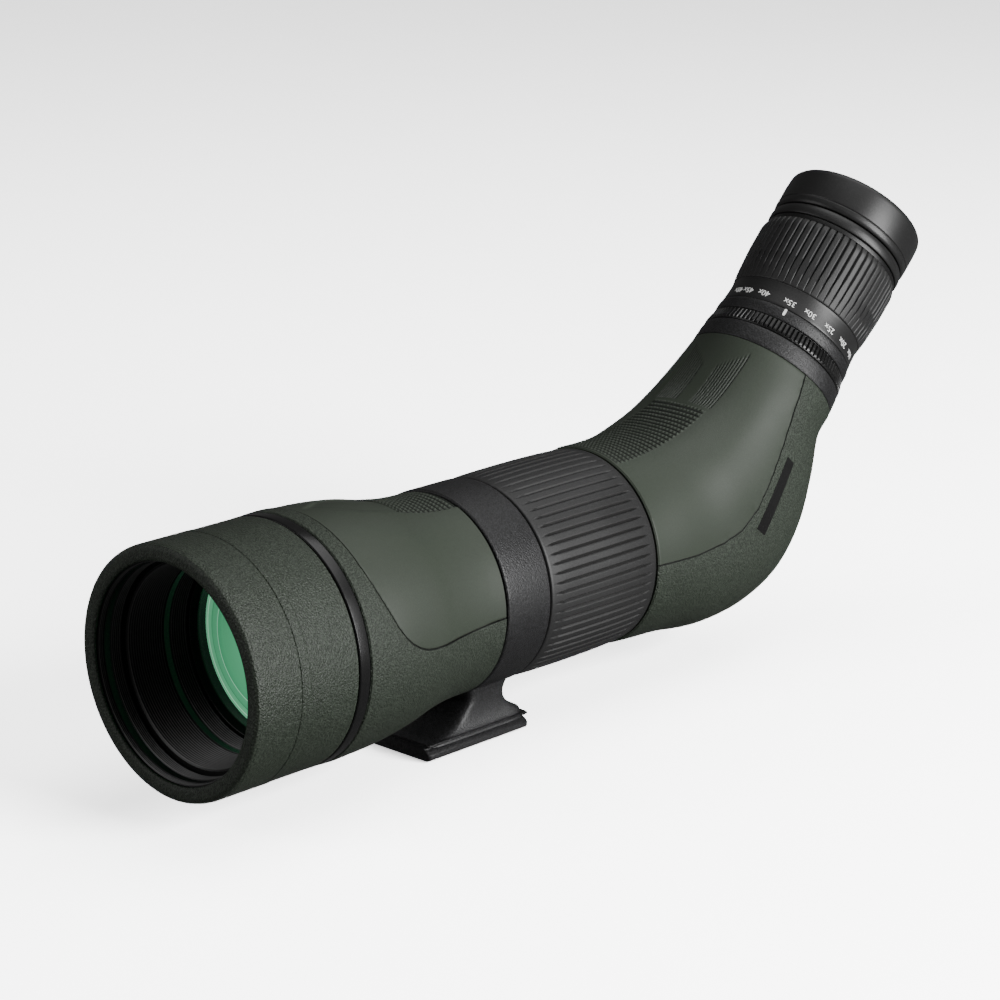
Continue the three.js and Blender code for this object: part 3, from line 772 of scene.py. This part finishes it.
# %% Sections on a fan
EYE_END = 63.0
FAN_STATION = 197.0
FAN_HEIGHT = eye_start[2] - axis_z + (EYE_END * math.sqrt(2) + (eye_start[1] - rim_y) - FAN_STATION)
BEND_DEG, END_DEG = 45, 0.25
SECTION_DEG = [0, 7, 14, 20, 26, 31, 36, 41, BEND_DEG]
SECTION_UPPER = [107.6, 108.9, 110.5, 111.9, 113, 113.3, 112.8, 112.1, 111.3]
SECTION_LOWER = [180.6, 182.9, 188.9, 191.4, 190.7, 185.2, 176.6, 168.4, 170.3]
SECTION_HALF = [36.5, 36.5, 35.9, 35.8, 35, 33.8, 32.3, 30.9, 29.5]
SECTION_POWER = [2, 2.1, 2.3, 2.5, 2.6, 2.6, 2.4, 2.1, 2]
print("fan line", round(FAN_HEIGHT, 1), "mm above the optical axis")


def fan_point(degrees, turn, inset):
    """reach = middle + half depth sgn(cos t) |cos t|^(2/n), x = half width sgn(sin t) |sin t|^(2/n)."""
    upper, lower, half, squareness = (
        smooth_through(degrees, SECTION_DEG, known)
        for known in (SECTION_UPPER, SECTION_LOWER, SECTION_HALF, SECTION_POWER)
    )
    power = 2 / squareness
    c, s = np.cos(turn), np.sin(turn)
    reach = (upper + lower) / 2 + ((lower - upper) / 2 - inset) * np.sign(c) * np.abs(c) ** power
    x = (half - inset) * np.sign(s) * np.abs(s) ** power
    theta = np.radians(degrees)
    y = rim_y + FAN_STATION + reach * np.sin(theta)
    z = axis_z + FAN_HEIGHT - reach * np.cos(theta)
    return np.stack(np.broadcast_arrays(x, y, z), axis=-1)


# %% Rear armour
REAR_SEAM = [
    (198, 0), (208, -0.5), (219, -0.8), (234, 0.2), (243.6, 2.8), (253, 8.7), (261.7, 18.1), (270.7, 29.1),
    (280.3, 41.6), (288.7, 51.4), (300, 64.6),
]
PAD_DEG = (0.5, 27.6)
PAD_HALF = (15.2, 12.6)
TOP_REACH = 112
GROOVE_DEPTH = 0.35
GROOVE_X = [3.6 + 1.15 * k for k in range(9)]
GROOVE_END_DEG = [38.6, 39.1, 39.6, 40.1, 40.6, 41.1, 41.6, 42.2, 42.9]

degrees = uneven([0, END_DEG, 28.5, BEND_DEG - END_DEG, BEND_DEG], [3, 240, 46, 3])
turn = np.radians(uneven([-180, -140, -100, 100, 140, 180], [88, 24, 70, 24, 88]))[:-1]
degrees, turn = np.meshgrid(degrees, turn, indexing="ij")
plain = fan_point(degrees, turn, 0.0)
along_y, up_z, across_x = plain[..., 1] - rim_y, plain[..., 2] - axis_z, plain[..., 0]
seam = side_of(along_y, up_z, REAR_SEAM)
on_top = np.cos(turn) < -0.3
half = np.interp(degrees, PAD_DEG, PAD_HALF)
reach_mm = np.radians(degrees) * TOP_REACH
pad_low, pad_high = np.radians(PAD_DEG) * TOP_REACH
edge = np.minimum(half - np.abs(across_x), pad_high - reach_mm)
edge = np.where(on_top, np.minimum(edge, reach_mm - pad_low), -5)
pad = ramp(edge, 0.0, 0.7)
knurl = waffle(reach_mm, across_x)
inset = 0.28 * ramp(0.40 - np.abs(seam), 0, 0.40) + 0.12 * ramp(-seam, -0.3, 0.3)
inset = inset - pad * (KNURL_HEIGHT * knurl - 0.15)
# Painted shade: dark marks the grooves between the knurls and, in the loop below, the fine grooves, for the
# armour finish to colour darker.
dark = pad * (1 - ramp(knurl, 0.05, 0.7))
for x, end in zip(GROOVE_X, GROOVE_END_DEG):
    line = ramp(0.36 - np.abs(np.abs(across_x) - x), 0, 0.3) * np.where(on_top, 1.0, 0.0)
    line = line * ramp(degrees, 27.9, 28.6) * (1 - ramp(degrees, end - 1.2, end))
    inset = inset + GROOVE_DEPTH * line
    dark = np.maximum(dark, line)
end_share = ramp(END_DEG - degrees, 0, END_DEG) + ramp(degrees - BEND_DEG + END_DEG, 0, END_DEG)
inset = inset + END_ROUND * end_share
skin = fan_point(degrees, turn, inset)
back = fan_point(degrees[::12][::-1], turn[::12], WALL)
hidden = np.zeros((back.shape[0], turn.shape[1]))
marks = {"seam_mm": np.concatenate([seam, hidden - 5]), "relief": np.concatenate([dark, hidden])}
rear_skin = grid_piece("rear_armour_skin", np.concatenate([skin, back]), wrap_rows=True, carried=marks)
settle(rear_skin, "scope_body", armour_panels, "green_armour", "rear_armour")

# %% [markdown]
# ## Eyepiece rings
# From the seat up: a black collar, a thin knurled lock ring, a plain index ring with one white bar, the
# magnification scale, the fluted zoom grip and a smooth cap ring. The numbers are filled engravings, so
# they are made as lettering, then bent round the ring point by point.

# %% Seat, lock ring, index ring
SEAT, LOCK, INDEX, SCALE, GRIP = (63.0, 70.3), (70.3, 76.4), (76.4, 81.4), (81.4, 91.0), (91.0, 119.2)
STEP_END, TOP_END, CUP_END = 121.2, 125.8, 142.4

seat = turned("eyepiece_seat_ring", softened([
    (23.5, SEAT[0]), (29.2, SEAT[0], 0.2), (29.4, SEAT[0] + 1.0, 0.5), (29.1, 68.6, 1.5),
    (28.75, SEAT[1], 0.3), (23.5, SEAT[1]),
], 0.2), about_eyepiece)
settle(seat, "scope_body", wrinkle_black, "black_metal", "eyepiece_seat")
lock = ribbed(
    "lock_ring_ribbed", about_eyepiece, [LOCK[0] + 0.15, 71.2, 73.5, 75.5, LOCK[1] - 0.15],
    [28.5, 28.75, 28.45, 28.0, 27.8], inner=24.0, count=96, sharpness=0.5, depth=0.75,
    fade_low=(70.9, 71.3), fade_high=(75.6, 76.0), per_rib=8,
)
settle(lock, "lock_ring", satin_black, "black_metal", "lock_ring")
index_ring = turned("index_ring_plain", softened([
    (24.2, INDEX[0]), (27.6, INDEX[0], 0.15), (27.8, INDEX[0] + 0.5, 0.3), (27.8, 80.2, 0.6),
    (27.5, INDEX[1] - 0.15, 0.2), (24.2, INDEX[1]),
], 0.15), about_eyepiece)
settle(index_ring, "scope_body", wrinkle_black, "black_metal", "index_ring")

# %% Scale ring and zoom grip
scale_ring = turned("zoom_scale_ring_plain", softened([
    (24.4, SCALE[0] + 0.1), (27.3, SCALE[0] + 0.1, 0.2), (27.35, SCALE[0] + 0.7, 0.3), (26.9, 86.5, 2),
    (26.75, 90.0, 1), (26.8, SCALE[1], 0.2), (24.4, SCALE[1]),
], 0.15), about_eyepiece)
settle(scale_ring, "zoom_ring", cup_rubber, "black_plastic", "zoom_scale_ring")
grip = ribbed(
    "zoom_grip_fluted", about_eyepiece, [GRIP[0], 93, 96, 101, 107, 113, 117.5, GRIP[1]],
    [26.9, 27.2, 27.6, 27.95, 28.3, 28.35, 28.2, 27.6], inner=24.4, count=60, sharpness=0.42, depth=1.0,
    fade_low=(84.0, 106.0), fade_high=(120.5, 121.0),
)
settle(grip, "zoom_ring", rib_rubber, "black_rubber", "zoom_grip")
end_ring = turned("zoom_end_ring_dark", softened([
    (24.4, GRIP[1] + 0.05), (27.2, GRIP[1] + 0.05, 0.15), (27.2, STEP_END - 0.1, 0.3), (24.4, STEP_END - 0.1),
], 0.15), about_eyepiece)
settle(end_ring, "zoom_ring", bore_black, "black_plastic", "zoom_end_ring")
top_ring = turned("top_ring_smooth", softened([
    (23.4, STEP_END + 0.1), (27.6, STEP_END + 0.1, 0.4), (27.85, 122.6, 0.5), (27.8, 124.2, 0.6),
    (27.3, TOP_END - 0.1, 0.5), (23.4, TOP_END - 0.1),
], 0.15), about_eyepiece)
settle(top_ring, "scope_body", cup_rubber, "black_plastic", "top_ring")

# %% White index bar and numbers
def wrapped(name, mesh, radius_at, turn, station, body):
    """Flat lettering becomes ring work: its x runs against the turn, its y towards the body, z is depth."""
    count = len(mesh.vertices)
    flat = np.empty(count * 3, dtype=np.float32)
    mesh.vertices.foreach_get("co", flat)
    x, y, z = flat.reshape(-1, 3).astype(float).T / MM
    along = station - y
    radius = radius_at(along)
    points = about_eyepiece(radius + z, math.radians(turn) - x / radius, along)
    mesh.vertices.foreach_set("co", (points * MM).astype(np.float32).ravel())
    mesh.update()
    piece = finished(name, mesh, 35)
    return settle(piece, body, white_fill, "black_plastic")


NUMBER_RAISED = 0.10


def lettering(text, size):
    """Flat outlines of the text, filled and drawn out to a thin sheet, as a mesh."""
    curve = bpy.data.curves.new("lettering", "FONT")
    curve.body = text
    curve.size = size * MM
    curve.align_x = "CENTER"
    curve.align_y = "CENTER"
    curve.extrude = NUMBER_RAISED * MM
    curve.resolution_u = 4
    source = bpy.data.objects.new("lettering", curve)
    bpy.context.scene.collection.objects.link(source)
    graph = bpy.context.evaluated_depsgraph_get()
    mesh = bpy.data.meshes.new_from_object(source.evaluated_get(graph))
    bpy.data.objects.remove(source)
    bpy.data.curves.remove(curve)
    return mesh


def scale_radius(station):
    return smooth_through(station, [81.5, 82.1, 86.5, 90.9], [27.3, 27.3, 26.95, 26.8])


NUMBER_SIZE, NUMBER_STATION = 3.4, 84.6
MARKS = {"16x": 16, "20x": -1, "25x": -20, "30x": -40, "35x": -58.5, "40x": -82, "45x": -98, "48x": -110}
for text, turn_deg in MARKS.items():
    wrapped(f"mark_{text}", lettering(text, NUMBER_SIZE), scale_radius, turn_deg, NUMBER_STATION, "zoom_ring")
print("numbers on the scale:", len(MARKS))


# %% The white index bar
BAR_PROUD, BAR_SUNK = 0.12, 0.25


def bar_on_ring(name, radius, turn_deg, low, high, half_width, body):
    """A strip set in the ring: half width (1 - u^12)^(1/2), with u from -1 at one end to 1 at the other."""
    along = np.linspace(low, high, 12)
    blunt = np.sqrt(np.clip(1 - (np.abs(along - (low + high) / 2) / ((high - low) / 2)) ** 12, 0.02, 1))
    across = np.linspace(-1, 1, 7)[None, :] * (half_width * blunt)[:, None]
    turn = math.radians(turn_deg) + across / radius
    top_side = about_eyepiece(radius + BAR_PROUD, turn, along[:, None])
    low_side = about_eyepiece(radius - BAR_SUNK, turn, along[:, None])[:, ::-1]
    loop = np.concatenate([top_side, low_side], axis=1)
    return settle(grid_piece(name, capped(loop)), body, white_fill, "black_plastic")


bar_on_ring("index_bar_white", 27.72, -58, 78.4, 81.3, 0.5, "scope_body")

# %% [markdown]
# ## Eyecup and eye lens
# The eyecup is a smooth rubber sleeve over a plastic tube. A fine groove runs round its foot, and the
# rim rolls inward to a soft edge. Twisting it lifts it on a hidden helix.

# %% Eyecup
cup = softened([
    (26.1, 126.2), (27.3, 126.2, 0.4), (27.8, 127.2, 0.5), (27.9, 129.0, 0.2), (27.6, 129.35, 0.1),
    (27.9, 129.7, 0.2), (27.95, 136.0, 3.0), (27.7, 141.0, 1.2), (26.6, CUP_END - 0.1, 0.9),
    (25.4, CUP_END - 0.1, 0.8), (23.2, CUP_END - 1.6, 1.2), (22.2, CUP_END - 4.2, 0.6),
    (22.2, CUP_END - 5.6, 0.3), (23.9, CUP_END - 5.8, 0.2), (26.1, CUP_END - 5.9, 0.1),
], 0.3)
settle(turned("eyecup_soft", cup, about_eyepiece), "eyecup", cup_rubber, "black_rubber", "eyecup_rubber")

# The eyecup rises off this thin fixed tube, which closes the opening under it.
tube = [(23.92, TOP_END - 0.6), (24.25, TOP_END - 0.6), (24.25, CUP_END - 6.2), (23.92, CUP_END - 6.2)]
settle(turned("eyecup_inner_tube", tube, about_eyepiece), "scope_body", satin_black, "black_plastic")

# %% [markdown]
# ## Clamp knob and foot fittings
# A fluted knob pinches the collar, on the side away from the name plate. Under the
# foot are a brass bush with a screw thread and two small socket screws that stop the foot sliding out.

# %% Clamp boss and knob
KNOB_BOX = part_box("clamp_knob")
WASHER_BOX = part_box("clamp_washer")
knob_y = (KNOB_BOX[0][1] + KNOB_BOX[1][1]) / 2 / MM
knob_z = (KNOB_BOX[0][2] + KNOB_BOX[1][2]) / 2 / MM
knob_out = KNOB_BOX[0][0] / MM
boss_out = WASHER_BOX[1][0] / MM + 0.3


def about_knob(radius, turn, station):
    """Knob point: station mm inward from the knob's outer face, r about the cross axis."""
    radius, turn, station = np.broadcast_arrays(radius, turn, station)
    y, z = knob_y + radius * np.cos(turn), knob_z + radius * np.sin(turn)
    return np.stack([knob_out + station, y, z], axis=-1)


# Rows of (radius, station, share of the flute depth): a dished face with rounded shoulders, and a stem.
KNOB_ROWS = np.array([
    (6.15, 1.2, 0), (6.15, 0.3, 0), (6.3, 0.1, 0), (8.2, 0.0, 0), (8.9, 0.2, 0.35), (9.3, 0.7, 0.8),
    (9.5, 1.3, 1), (9.5, 4.5, 1), (9.5, 7.7, 1), (9.3, 8.3, 0.8), (8.9, 8.8, 0.35), (8.2, 9.0, 0),
    (2.95, 9.0, 0), (2.95, 14.6, 0),
])
KNOB_RIBS = 24
FLUTE_DEPTH = 0.7
turn = np.linspace(0, 2 * np.pi, KNOB_RIBS * 12, endpoint=False)
drop = flutes(turn, KNOB_RIBS, 0.55)[None, :] * KNOB_ROWS[:, 2:3] * FLUTE_DEPTH
knob_points = about_knob(KNOB_ROWS[:, 0:1] - drop, turn[None, :], KNOB_ROWS[:, 1:2])
knob = grid_piece("clamp_knob_fluted", capped(knob_points), sharp_deg=40)
settle(knob, "clamp_knob", satin_black, "black_metal", "clamp_knob")
cap = softened([(0.0, 0.9, 0), (5.9, 0.9, 0.05), (5.9, 0.35, 0.3), (5.3, 0.1, 0.3), (0.0, 0.1, 0)], 0.1)
cap = cap[(cap[:, 0] > 1e-6)]
cap = np.concatenate([[(0, 0.9)], cap, [(0, 0.1)]])
cap_piece = turned("clamp_knob_cap_turned", cap, about_knob, sides=96, closed=False)
settle(cap_piece, "clamp_knob", turned_steel, "steel", "clamp_knob_cap")

boss_start = boss_out - knob_out
boss = turned("clamp_boss", softened([
    (3.5, boss_start), (7.6, boss_start, 0.4), (8.0, boss_start + 0.8, 0.5), (8.4, boss_start + 6, 1),
    (9.6, boss_start + 9.4, 1), (3.5, boss_start + 9.4),
], 0.1), about_knob, sides=96)
settle(boss, "mount", wrinkle_black, "black_metal", "collar_and_foot")

# %% Foot bush and stop screws
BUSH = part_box("foot_bush")
bush_y = (BUSH[0][1] + BUSH[1][1]) / 2 / MM
bush_r = (BUSH[1][1] - BUSH[0][1]) / 2 / MM


def upright_at(y):
    """A placing rule for turned pieces that stand upright in the foot at this y."""
    def place(radius, turn, station):
        radius, turn, station = np.broadcast_arrays(radius, turn, station)
        return np.stack([radius * np.cos(turn), y + radius * np.sin(turn), station], axis=-1)
    return place


thread = [(3.55 - 0.5 * (k % 2), z) for k, z in enumerate(np.linspace(0.4, 7.5, 13))]
bush = np.array([(bush_r, 7.7), (bush_r, 0.2), *thread])
bush_piece = turned("foot_bush_threaded", bush, upright_at(bush_y), sides=96)
settle(bush_piece, "mount", turned_brass, "brass", "foot_bush")
for name in ("stop_screw_front", "stop_screw_rear"):
    low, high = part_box(name)
    radius = (high[0] - low[0]) / 2 / MM
    y = (low[1] + high[1]) / 2 / MM
    socket_outline = np.array([
        (0, 3.7), (radius, 3.7), (radius, 0.5), (radius - 0.2, 0.3),
        (0.85, 0.3), (0.8, 0.4), (0.8, 1.6), (0, 1.8),
    ])
    screw = turned(f"{name}_socket", socket_outline, upright_at(y), sides=48, closed=False)
    settle(screw, "mount", turned_steel, "steel", name)

# %% [markdown]
# ## Name plate, and the pieces left as they are
# A slim blank plate lies flush in the side of the rear body. The inner optics and tubes keep their own
# solids and only need a finish: matt black inside, green-tinted glass, brass and steel where they show.

# %% Blank side plate
PLATE_PROUD, PLATE_THICK = 0.12, 0.9
PLATE = np.array([(272.5, 24.6), (276.0, 21.4), (257.1, -1.9), (252.4, 1.7)])
u, v = np.meshgrid(np.linspace(0, 1, 40), np.linspace(0, 1, 10), indexing="ij")
plate_y, plate_z = (
    (1 - u) * ((1 - v) * PLATE[0, k] + v * PLATE[1, k]) + u * ((1 - v) * PLATE[3, k] + v * PLATE[2, k])
    for k in range(2)
)


def fan_side_x(y, z):
    """x of the plain skin at a side-view point: the section formula solved for t from the reach."""
    dy, dz = y - FAN_STATION, FAN_HEIGHT - z
    angle = np.degrees(np.arctan2(dy, dz))
    reach = np.hypot(dy, dz)
    upper, lower, half, power = (
        smooth_through(angle, SECTION_DEG, known)
        for known in (SECTION_UPPER, SECTION_LOWER, SECTION_HALF, SECTION_POWER)
    )
    share = np.clip(np.abs(reach - (upper + lower) / 2) / ((lower - upper) / 2), 0, 0.999)
    return half * (1 - share ** power) ** (1 / power)


plate_x = fan_side_x(plate_y, plate_z) + PLATE_PROUD
face = np.stack([plate_x, rim_y + plate_y, axis_z + plate_z], axis=-1)
rim_loop = face - np.array([PLATE_THICK, 0, 0])
loop = np.concatenate([face, rim_loop[:, ::-1]], axis=1)
plate = grid_piece("side_plate_blank", capped(loop), sharp_deg=30)
settle(plate, "scope_body", satin_black, "black_plastic", "side_plate")

# %% Finishes on the solids that stay
glass_deep = coated("glass_deep", (0.05, 0.09, 0.07), (0.06, 0.11, 0.08), 0.16, 300, 0.0, 0.2)
eye_coating = coated("eye_glass", (0.03, 0.05, 0.08), (0.035, 0.06, 0.09), 0.12, 300, 0.0, 0.2)
STAY = {
    eye_coating: ["eye_lens"],
    glass_deep: ["objective_rear_lens", "focus_lens", "zoom_lens_lower", "zoom_lens_upper", "field_lens",
                 "erector_prism", "roof_prism"],
    turned_brass: ["objective_spacer"],
    bore_black: ["objective_lock_ring", "front_shell", "body_tube", "light_baffle", "prism_housing",
                 "prism_bracket", "eyepiece_tube", "focus_sleeve", "focus_cell", "zoom_cam",
                 "zoom_cell_lower", "zoom_cell_upper", "collar_liner"],
    satin_black: ["clamp_washer", "eyecup_guide_ring", "eyecup_sleeve"],
}
for material, nodes in STAY.items():
    for node in nodes:
        mesh = bpy.data.objects[node].data
        mesh.materials.clear()
        mesh.materials.append(material)
print("finished solids:", sum(len(nodes) for nodes in STAY.values()))

# %% [markdown]
# ## Floor, light and camera
# The scope stands on a plain pale floor under broad soft light: a large panel above, one from the left,
# a strong one low on the right, and a dim even surround. The floor looks pale to the camera but throws
# little light back, so the undersides of the scope stay dark.

# %% Floor
DIM_TO_LIGHT = (0.12, 0.12, 0.12)
PALE_TO_CAMERA = (4.5, 4.5, 4.5)
floor_mesh = bpy.data.meshes.new("floor")
reach = 3.0
level = cad_box[0][2] - 0.0005
corners = [(-reach, -reach, level), (reach, -reach, level), (reach, reach, level), (-reach, reach, level)]
floor_mesh.from_pydata(corners, [], [(0, 1, 2, 3)])
floor = bpy.data.objects.new("floor", floor_mesh)
bpy.context.scene.collection.objects.link(floor)
floor_paint = coated("floor_paint", (0.86, 0.86, 0.86), (0.88, 0.88, 0.88), 0.9, 60, 0.0, 0.2)
floor_mesh.materials.append(floor_paint)
floor_tree = floor_paint.node_tree
floor_shader = shader_in(floor_tree)
sight = floor_tree.nodes.new("ShaderNodeLightPath")
floor_shader.inputs["Emission Color"].default_value = (1.0, 1.0, 1.0, 1.0)
floor_tree.links.new(sight.outputs["Is Camera Ray"], floor_shader.inputs["Emission Strength"])
pale = mixed_color(floor_tree, sight.outputs["Is Camera Ray"], DIM_TO_LIGHT, PALE_TO_CAMERA)
floor_tree.links.new(pale, floor_shader.inputs["Base Color"])
print("floor", round(level * 1000, 2), "mm, just under the foot")


# %% Lights and surround
def area_light(name, size, power, place, aim):
    lamp = bpy.data.lights.new(name, "AREA")
    lamp.shape = "RECTANGLE"
    lamp.size, lamp.size_y = size
    lamp.energy = power
    holder = bpy.data.objects.new(name, lamp)
    holder.location = place
    holder.rotation_euler = (Vector(aim) - Vector(place)).to_track_quat("-Z", "Y").to_euler()
    bpy.context.scene.collection.objects.link(holder)
    return holder


area_light("top_panel", (1.2, 1.2), 11.0, (0.15, 0.5, 1.35), (0.0, 0.03, 0.08))
area_light("left_panel", (0.9, 1.2), 10.0, (-0.7, -1.3, 0.6), (0.0, 0.0, 0.08))
area_light("right_panel", (0.7, 1.0), 54.0, (1.35, 0.32, 0.44), (0.0, 0.05, 0.08))

world = bpy.data.worlds.new("surround")
bpy.context.scene.world = world
world.use_nodes = True
surround = shader_in(world.node_tree, "BACKGROUND")
surround.inputs["Color"].default_value = (1.0, 1.0, 1.0, 1.0)
surround.inputs["Strength"].default_value = 0.10
print("lights:", len(bpy.data.lights))

# %% Camera
azimuth, elevation, distance = math.radians(43.7), math.radians(16.1), 1.120
aim = Vector((0.0, 0.031, 0.0778))
level_share = math.cos(elevation)
towards = Vector((math.sin(azimuth) * level_share, -math.cos(azimuth) * level_share, math.sin(elevation)))
lens_data = bpy.data.cameras.new("camera")
lens_data.lens = 115.2
lens_data.sensor_width = 36.0
camera = bpy.data.objects.new("camera", lens_data)
camera.location = aim + distance * towards
camera.rotation_euler = (-towards).to_track_quat("-Z", "Y").to_euler()
bpy.context.scene.collection.objects.link(camera)
bpy.context.scene.camera = camera
print("camera stands", distance, "m away")
